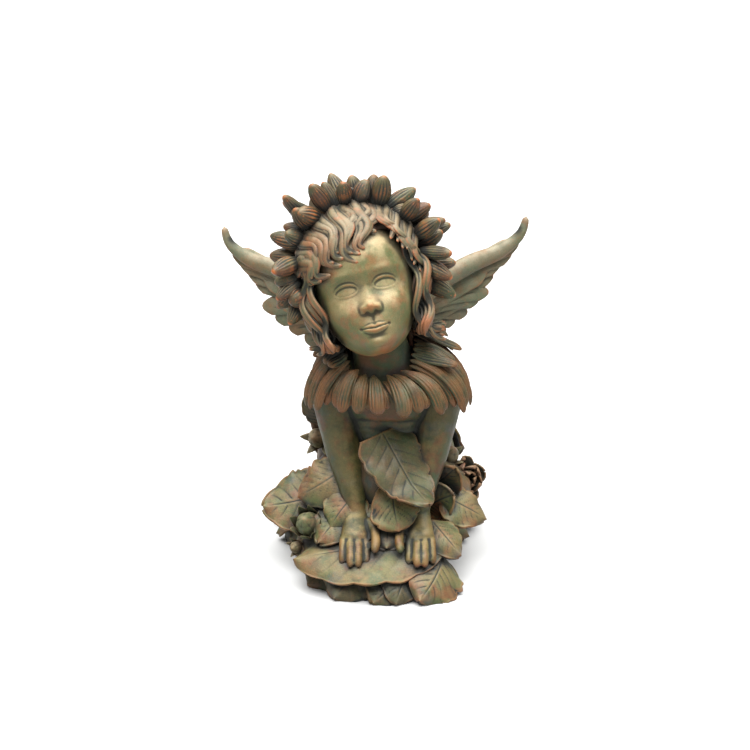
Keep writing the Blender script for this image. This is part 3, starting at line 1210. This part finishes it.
# %% Measure closeness
GRID = 0.0015
MARGIN = 0.02  # the grid reaches this far past the casting's box
LOOKS_AHEAD = 0.0060


def blurred(grid, cells):
    """A box blur along all three axes, twice."""
    span = 2 * cells + 1
    for axis in (0, 1, 2) * 2:
        wider = np.pad(grid, [(cells + 1, cells) if k == axis else (0, 0) for k in range(3)])
        total = np.cumsum(wider, axis=axis, dtype=np.float64)
        count = total.shape[axis]
        ends = np.take(total, range(span, count), axis=axis) - np.take(total, range(count - span), axis=axis)
        grid = (ends / span).astype(np.float32)
    return grid


def cells_of(places):
    return tuple(np.clip(((places - corner) / GRID).astype(int), 0, np.array(filled.shape) - 1).T)


corner = np.array(CAD_BOX[0]) - MARGIN
filled = np.zeros(np.ceil((np.array(CAD_BOX[1]) + MARGIN - corner) / GRID).astype(int), np.float32)
for piece in PIECES:
    filled[cells_of(points_of(piece))] = 1.0
closeness = blurred(filled, 3)

# %% Keep crest, hollow and shade
for piece in PIECES:
    at, out = points_of(piece), rows_of(piece.data.vertices, "normal").astype(float)
    bend, stand, mean = bend_and_stand(piece, at, out)
    shade = clamp((closeness[cells_of(at + out * LOOKS_AHEAD)] - 0.05) / 0.20)
    measures = {
        "crest": clamp(0.6 * bend + 0.6 * stand),
        "hollow": clamp(-0.6 * bend - 0.6 * stand),
        "shade": 0.5 * shade + 0.5 * mean(mean(shade)),
    }
    for name, values in measures.items():
        attribute = piece.data.attributes.new(name, "FLOAT", "POINT")
        attribute.data.foreach_set("value", values.astype(np.float32))
    print(piece.name, {name: round(float(values.mean()), 3) for name, values in measures.items()})

# %% [markdown]
# ## Patina
# The real finish is filled polyester resin, cast in a mould, painted dark brown and then sponged and
# dry-brushed: olive and moss green in soft patches, dusty beige where it faces up, copper on every
# edge and near black in the grooves. The paint is satin, with a little metal powder in it, so it is
# partly metallic and about half rough. One function lays these coats one after another, and each
# piece gets its own share of them.


# %% The coats of paint
SLATE, GROOVE_WASH, GAP_WASH = "#3d464c", "#23251f", "#1d1f1e"
PAINT_METAL, PAINT_SHEEN = 0.12, 0.35  # metal powder in the paint, and a satin rather than glossy coat


def patina(name, ground, moss, brown, dust, copper, dusty, coppery, dark, patchy, rough, grain):
    """Sponged and dry-brushed paint on cast resin. The last six say how much of each coat there is."""
    material = bpy.data.materials.new(name)
    material.use_nodes = True
    tree = material.node_tree
    shader = tree.nodes["Principled BSDF"]
    place = add(tree, "TexCoord", out="Object")

    def clouds(per_metre, turn=0.0, detail=3.0):
        """Patches one over per_metre in size. turn moves them, so that no two coats have the same ones."""
        moved = add(tree, "Mapping", [("Vector", place), ("Location", (turn, 0.7 * turn, 1.3 * turn))])
        sizes = [("Scale", per_metre), ("Detail", detail), ("Roughness", 0.6)]
        return add(tree, "TexNoise", [("Vector", moved), *sizes])

    def share(*parts):
        """Numbers and patterns, multiplied. A pattern comes with the values where it starts and is full."""
        product = None
        for part in parts:
            if isinstance(part, tuple):
                ends = zip(("Value", "From Min", "From Max"), part)
                part = add(tree, "MapRange", ends, interpolation_type="SMOOTHSTEP")
            if product is not None:
                part = add(tree, "Math", [(0, product), (1, part)], operation="MULTIPLY", use_clamp=True)
            product = part
        return product

    def coat(under, over, *parts):
        """One coat over another, as thick as its share."""
        layers = [(0, share(*parts)), (6, under), (7, hex_colour(over))]
        return add(tree, "Mix", layers, out=2, data_type="RGBA")

    # each measured pattern, with the values where it starts and is full
    crest, hollow, shade = (
        (add(tree, "Attribute", out="Fac", attribute_name=name), start, full)
        for name, start, full in (("crest", 0.12, 0.75), ("hollow", 0.05, 0.55), ("shade", 0.15, 1.0))
    )
    up = add(tree, "SeparateXYZ", [(0, add(tree, "NewGeometry", out="Normal"))], out=2)
    # sponged ground: patches of 40 mm, then of 20 to 25 mm
    colour = coat(hex_colour(ground), moss, (clouds(26), 0.42, 0.62), 0.4 + patchy)
    colour = coat(colour, brown, (clouds(48, 3.1), 0.47, 0.66), 0.4 + patchy)
    colour = coat(colour, SLATE, (clouds(38, 7.7), 0.52, 0.70), 0.5 * patchy)
    # dust that lies on what faces up
    colour = coat(colour, dust, (up, -0.1, 0.9), (clouds(70, 1.9), 0.30, 0.62), dusty)
    # copper: rubbed patches of 20 mm, specks of 1 to 2 mm, and every edge
    colour = coat(colour, copper, (clouds(55, 5.3), 0.58, 0.74), 0.55 * coppery)
    colour = coat(colour, copper, (clouds(620, 2.3, 1.0), 0.60, 0.72), 0.55 * coppery)
    colour = coat(colour, copper, crest, (clouds(60, 8.8), 0.28, 0.58), coppery)
    # wash: near black in grooves and between pieces
    colour = coat(colour, GROOVE_WASH, hollow, dark)
    colour = coat(colour, GAP_WASH, shade, 0.9 * dark)
    # and the whole a little darker and lighter, in specks of about 1 mm
    specks = add(tree, "TexNoise", [("Vector", place), ("Scale", 900.0), ("Detail", 2.0)])
    ends = [("From Min", 0.3), ("From Max", 0.7), ("To Min", 0.86), ("To Max", 1.10)]
    specks = add(tree, "MapRange", [("Value", specks), *ends])
    grey = add(tree, "CombineColor", [(k, specks) for k in range(3)])
    both = [(0, 1.0), (6, colour), (7, grey)]
    colour = add(tree, "Mix", both, out=2, data_type="RGBA", blend_type="MULTIPLY")
    tree.links.new(colour, shader.inputs["Base Color"])
    # gloss that comes and goes in patches of 10 mm, and is duller in the grooves
    ends = [("To Min", rough - 0.07), ("To Max", rough + 0.07)]
    gloss = add(tree, "MapRange", [("Value", share((clouds(90, 4.4), 0.3, 0.7))), *ends])
    gloss = add(tree, "Math", [(0, gloss), (1, share(hollow, 0.25))], operation="ADD", use_clamp=True)
    tree.links.new(gloss, shader.inputs["Roughness"])
    shader.inputs["Metallic"].default_value = PAINT_METAL
    shader.inputs["Specular IOR Level"].default_value = PAINT_SHEEN
    # the mould's own grain: swellings of 5 mm, and on them pits of about 1 mm
    bumps = None
    for per_metre, detail, deep, strength in ((190.0, 2.0, 0.0004, 0.5), (750.0, 3.0, 0.00022, 0.6)):
        grains = add(tree, "TexNoise", [("Vector", place), ("Scale", per_metre), ("Detail", detail)])
        under = [("Normal", bumps)] if bumps else []
        sizes = [("Height", grains), ("Distance", deep * grain), ("Strength", strength)]
        bumps = add(tree, "Bump", sizes + under)
    tree.links.new(bumps, shader.inputs["Normal"])
    print(name, len(tree.nodes), "nodes")
    return material


# %% A share of each coat for each piece
FINISHES = {
    # ground, moss, brown, dust, copper, then dust, copper, dark, patches, roughness and grain
    "head": ("#665d3b", "#4c5431", "#704b2c", "#988864", "#93552b", 0.85, 0.40, 0.75, 0.45, 0.56, 0.8),
    "body": ("#36351b", "#29371f", "#452d16", "#857346", "#80441e", 0.62, 0.24, 0.95, 0.7, 0.50, 0.8),
    "fringe": ("#5c4f38", "#494e34", "#66432a", "#80735a", "#965430", 0.55, 0.66, 0.85, 0.4, 0.58, 1.2),
    "hair": ("#54462e", "#434a2e", "#5f3d22", "#7d6f55", "#8e5030", 0.50, 0.52, 0.90, 0.4, 0.58, 1.1),
    "wreath": ("#3d3420", "#323c24", "#4a2d18", "#736747", "#9c5628", 0.52, 0.76, 1.00, 0.6, 0.50, 1.1),
    "wreath_back": ("#3d3220", "#333b24", "#4a2e19", "#6a5d3e", "#905026", 0.45, 0.58, 0.95, 0.6, 0.50, 1.1),
    "collar": ("#2c2e1a", "#28361f", "#2c2617", "#5a563a", "#7c4722", 0.50, 0.40, 1.00, 0.5, 0.54, 1.2),
    "wings": ("#59543f", "#4b533c", "#60492c", "#857c66", "#8e4f28", 0.60, 0.38, 1.00, 0.4, 0.56, 0.9),
    "mound": ("#2c2a18", "#2a3320", "#352615", "#48432f", "#60381c", 0.20, 0.30, 1.00, 0.5, 0.60, 1.0),
    "front_leaves": ("#4b4128", "#3c4526", "#55351f", "#73653f", "#85522d", 0.50, 0.38, 1.00, 0.8, 0.54, 1.4),
    "tucked_leaves": ("#3a3420", "#323b22", "#422d1b", "#585133", "#6f4526", 0.40, 0.33, 1.0, 0.7, 0.56, 1.4),
    "hanging_leaf": ("#34311c", "#2e3a20", "#422f1a", "#564f30", "#7d502d", 0.50, 0.35, 0.95, 0.7, 0.52, 1.3),
    "back_leaves": ("#423b24", "#384325", "#4b321e", "#61583b", "#7c4e2b", 0.45, 0.32, 1.00, 0.6, 0.56, 1.3),
    "flowers": ("#564d34", "#485332", "#60412c", "#7c7052", "#80492a", 0.60, 0.42, 0.60, 0.4, 0.54, 1.1),
}
for piece in PIECES:
    piece.data.materials.clear()
    piece.data.materials.append(patina("painted_cast_resin_" + piece.name, *FINISHES[piece.name]))

# %% [markdown]
# ## Floor
# A plain pale floor, far wider than the figure, takes its soft shadow.

# %% Floor
select()
bpy.ops.mesh.primitive_grid_add(x_subdivisions=2, y_subdivisions=2, size=30.0, location=(0, 0, 0))
floor = bpy.context.object
floor.name = "floor"
paper = bpy.data.materials.new("matt_white_paper")
paper.use_nodes = True
tree = paper.node_tree
mottle = add(tree, "TexNoise", [("Vector", add(tree, "TexCoord", out="Object")), ("Scale", 3.0)])
tones = [(0, mottle), (6, hex_colour("#a4a4a3")), (7, hex_colour("#a7a7a6"))]
shader = tree.nodes["Principled BSDF"]
tree.links.new(add(tree, "Mix", tones, out=2, data_type="RGBA"), shader.inputs["Base Color"])
shader.inputs["Roughness"].default_value = 0.9
floor.data.materials.append(paper)

# %% [markdown]
# ## Hand over to the frame
# Every piece rides on the casting's one body, takes its finish from the casting's material slot, and
# stands for the plain solid, which is hidden and stays for contact.

# %% Ride, slot and replace
for piece in PIECES:
    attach(piece, "root")
    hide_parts("fairy_statue")
